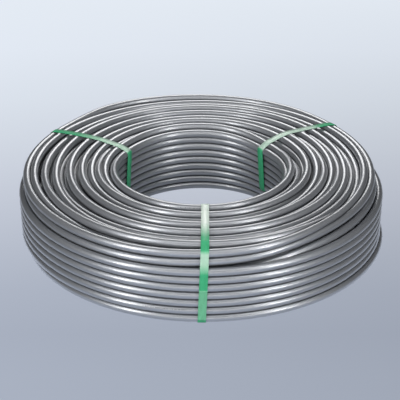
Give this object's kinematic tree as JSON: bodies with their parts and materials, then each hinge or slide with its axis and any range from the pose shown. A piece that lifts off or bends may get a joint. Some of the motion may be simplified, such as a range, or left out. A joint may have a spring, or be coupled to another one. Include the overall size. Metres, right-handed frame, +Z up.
{
  "type": "pex pipe coil",
  "caption": "Flat-lying coil of silver-grey plastic heating pipe, wound in nested layers round an open bore and held by flat green straps.",
  "frame": {"origin": "on the winding axis at floor level, where the straps' undersides rest", "axes": "+Z up along the winding axis, -Y towards the strap whose lap faces the front, +X to the right seen from the front"},
  "size_m": [0.7357, 0.7377, 0.1565],
  "materials": {
    "pipe": "satin silver-grey polyethylene with soft, broad highlights",
    "strap": "glossy green polyester strapping with fine embossing"
  },
  "bodies": {
    "root": {"pipe_coil": "pipe", "strap_front": "strap", "strap_rear_right": "strap", "strap_rear_left": "strap"}
  },
  "joints": []
}
